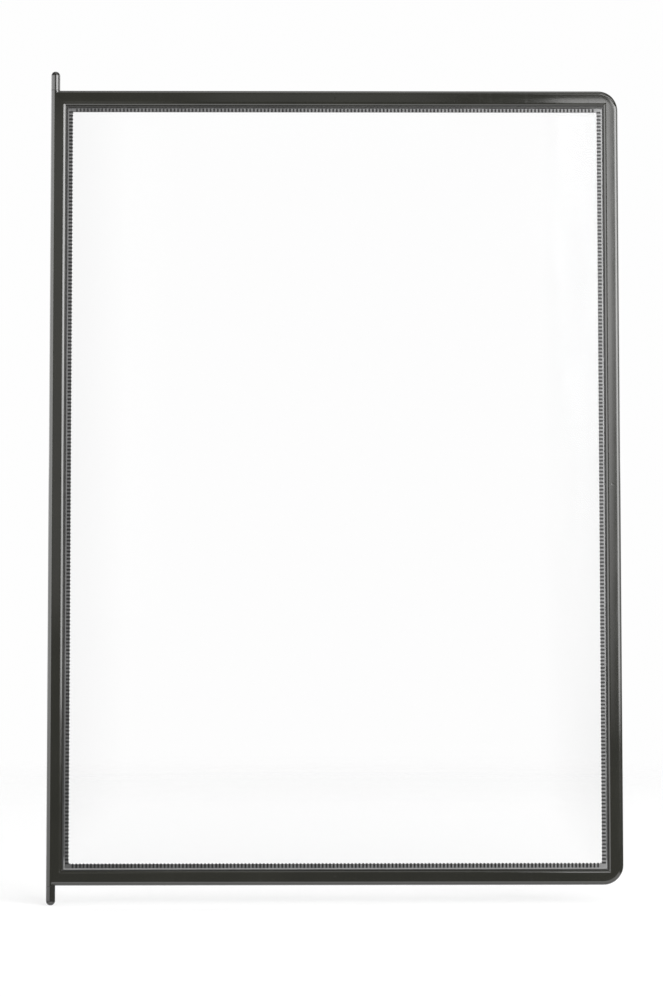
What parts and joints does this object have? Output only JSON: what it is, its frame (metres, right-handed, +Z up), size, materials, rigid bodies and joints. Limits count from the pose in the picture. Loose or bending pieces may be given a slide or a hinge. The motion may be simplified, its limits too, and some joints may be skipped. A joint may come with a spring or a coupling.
{
  "type": "display pocket",
  "caption": "Slim black A4 display pocket: clear films welded in a rounded frame, open along the top rail, swinging like a page on domed pins at the ends of its hinge stile.",
  "frame": {"origin": "tip of the lower pin, on the pivot axis", "axes": "+Z up along the pivot axis, +X from the hinge stile to the free stile, front face looking along -Y"},
  "size_m": [0.23, 0.0036, 0.3354],
  "materials": {
    "frame_plastic": "glossy black moulding",
    "pin_plastic": "glossy black moulding",
    "film": "clear smooth film",
    "steel": "bright drawn wire"
  },
  "bodies": {
    "pivot": {"hinge_rod": "steel", "upper_pivot_cap": "pin_plastic", "lower_pivot_cap": "pin_plastic"},
    "pocket": {"front_frame": "frame_plastic", "rear_frame": "frame_plastic", "front_film": "film", "rear_film": "film", "stiffening_wire": "steel"}
  },
  "joints": [
    {"name": "pocket_swing", "type": "hinge", "parent": "pivot", "child": "pocket", "pos_m": [0, 0, 0.1677], "axis": [0, 0, 1], "range_deg": [-90, 90]}
  ]
}
